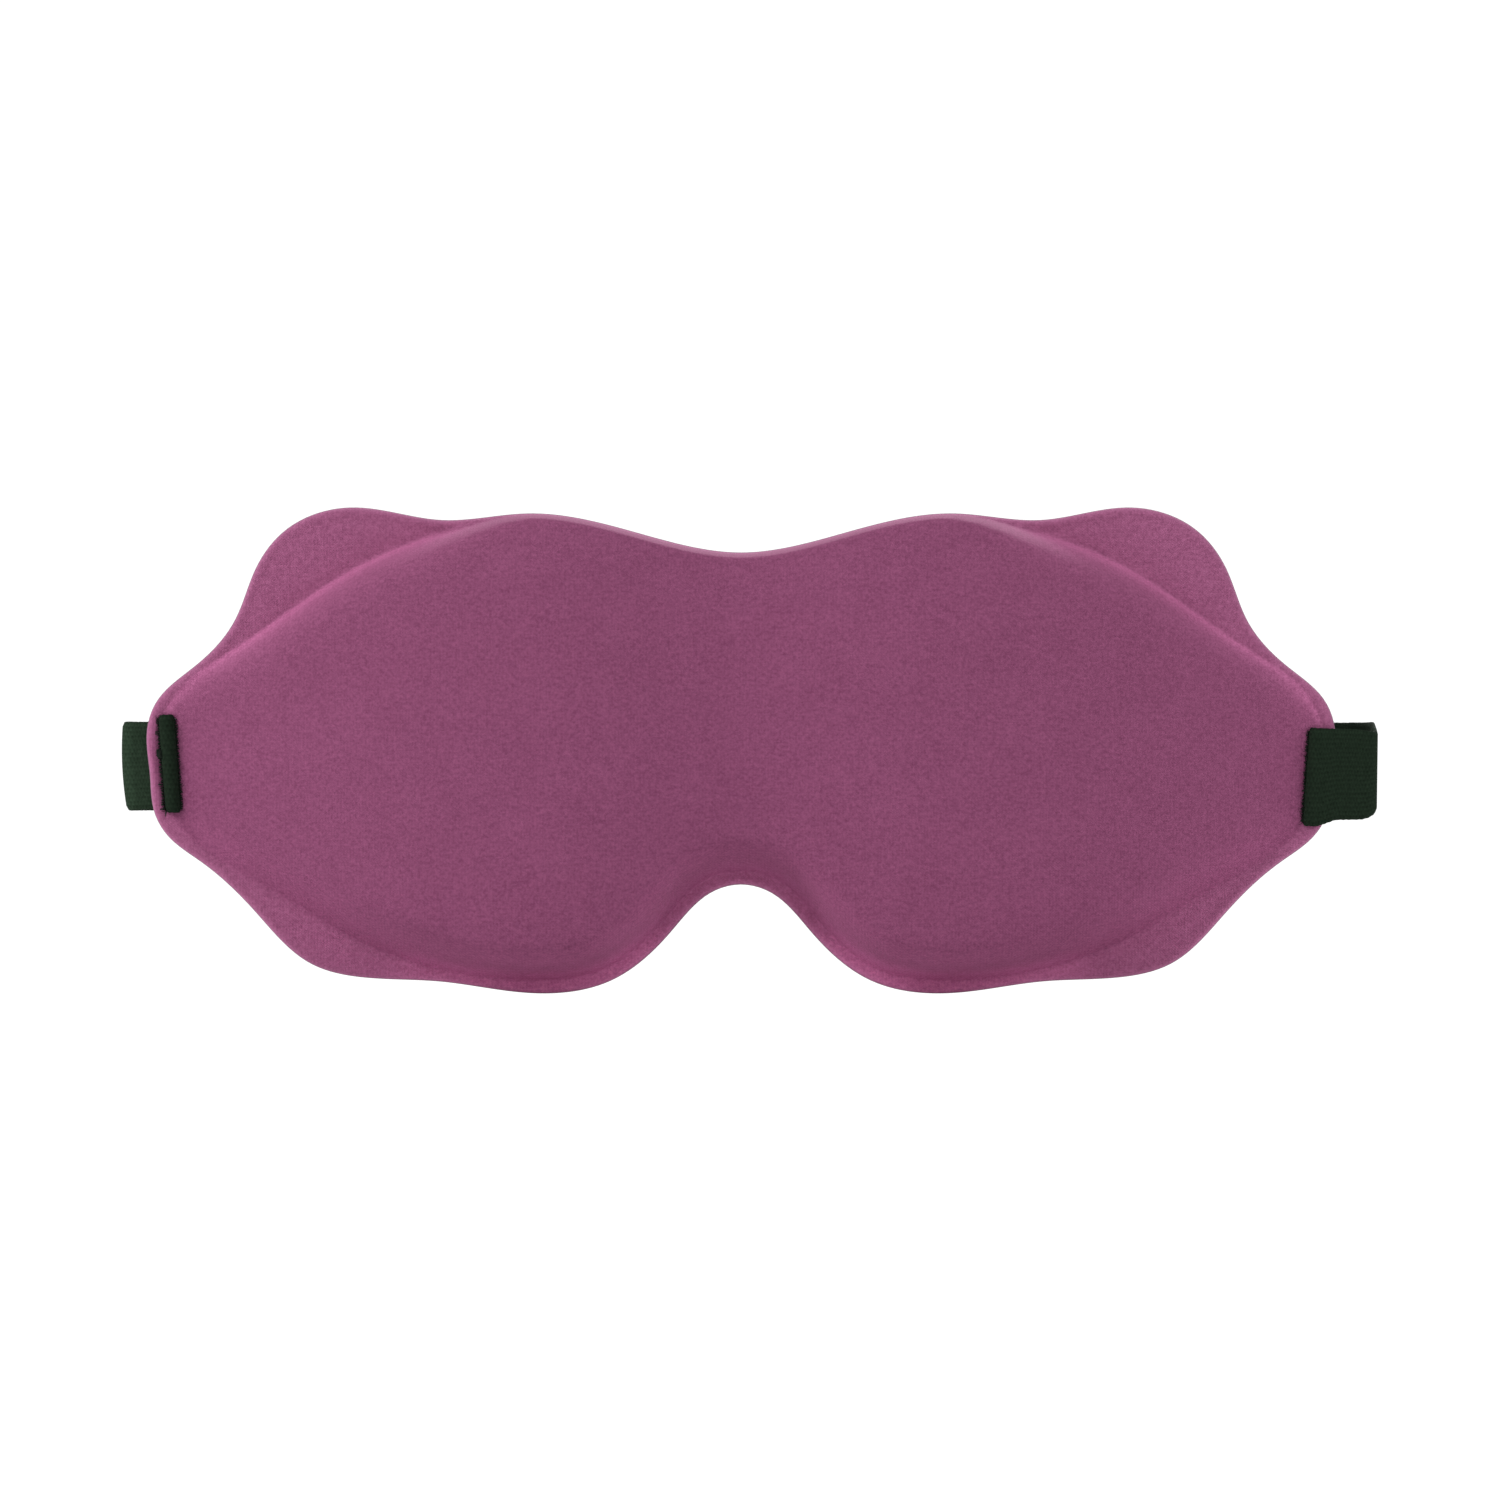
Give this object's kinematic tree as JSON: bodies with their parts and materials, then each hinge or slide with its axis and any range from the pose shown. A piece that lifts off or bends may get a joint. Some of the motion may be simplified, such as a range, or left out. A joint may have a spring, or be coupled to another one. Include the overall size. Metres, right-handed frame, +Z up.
{
  "type": "sleep eye mask",
  "caption": "Contoured sleep mask: domed foam pod with knit face, eye wells with padded rims, and an elastic strap looped through slits in the wings and held by a slider.",
  "frame": {"origin": "midway between the two wings on the flat rear plane of the lining, at the nose bridge", "axes": "+X towards the right wing as seen from outside, +Z up as worn, +Y towards the wearer's face"},
  "size_m": [0.2526, 0.0974, 0.097],
  "materials": {
    "outer_knit": "matte knit",
    "core_foam": "matte foam",
    "lining_fabric": "matte",
    "cushion_foam": "matte foam",
    "cushion_fabric": "matte",
    "plum_thread": "matte",
    "dark_thread": "matte",
    "elastic_webbing": "woven",
    "slider_plastic": "satin"
  },
  "bodies": {
    "mask": {"front_cover": "outer_knit", "foam_core": "core_foam", "inner_lining": "lining_fabric", "left_cushion_foam": "cushion_foam", "right_cushion_foam": "cushion_foam", "left_cushion_cover": "cushion_fabric", "right_cushion_cover": "cushion_fabric", "left_cushion_stitching": "plum_thread", "right_cushion_stitching": "plum_thread", "left_slit_stitching": "dark_thread", "right_slit_stitching": "dark_thread", "strap_left_anchor": "elastic_webbing", "strap_right_anchor": "elastic_webbing", "strap_end_stitching": "dark_thread"},
    "strap_sides": {"strap_left_side": "elastic_webbing", "strap_right_side": "elastic_webbing"},
    "strap_rear": {"strap_rear_run": "elastic_webbing", "strap_tail": "elastic_webbing", "tail_hem_stitching": "dark_thread"},
    "slider": {"strap_slider": "slider_plastic"}
  },
  "joints": [
    {"name": "strap_swing", "type": "hinge", "parent": "mask", "child": "strap_sides", "pos_m": [0, 0.0115, -0.0006], "axis": [1, 0, 0], "range_deg": [-75, 75], "stiffness_Nm_per_rad": 0.02, "deforming": ["strap_left_side", "strap_right_side"]},
    {"name": "strap_stretch", "type": "slide", "parent": "strap_sides", "child": "strap_rear", "axis": [0, 1, 0], "range_m": [0, 0.06], "stiffness_N_per_m": 30, "deforming": ["strap_left_side", "strap_right_side"]},
    {"name": "slider_travel", "type": "hinge", "parent": "strap_rear", "child": "slider", "pos_m": [0, -0.117, 0], "axis": [0, 0, 1], "range_deg": [-9, 11]}
  ]
}
